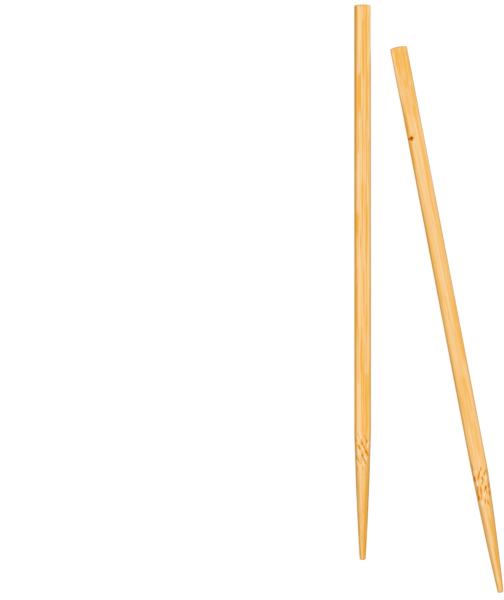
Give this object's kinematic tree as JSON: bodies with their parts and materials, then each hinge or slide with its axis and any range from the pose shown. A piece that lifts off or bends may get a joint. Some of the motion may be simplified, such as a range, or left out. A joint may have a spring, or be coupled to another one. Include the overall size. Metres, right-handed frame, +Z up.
{
  "type": "bamboo chopsticks",
  "caption": "Disposable bamboo chopsticks, snapped apart: flat handle with rounded edges, square where the pair was joined, and a round tapered tip with grip nicks.",
  "frame": {"origin": "on the table, under the middle of the box around the pair", "axes": "+Z up from the table, +Y towards the heads along the left stick, +X across from the left stick to the right one"},
  "size_m": [0.0618, 0.2436, 0.005],
  "materials": {
    "bamboo": "bare sanded bamboo, satin, with long straight grain"
  },
  "bodies": {
    "root": {"left_chopstick": "bamboo", "right_chopstick": "bamboo"}
  },
  "joints": []
}
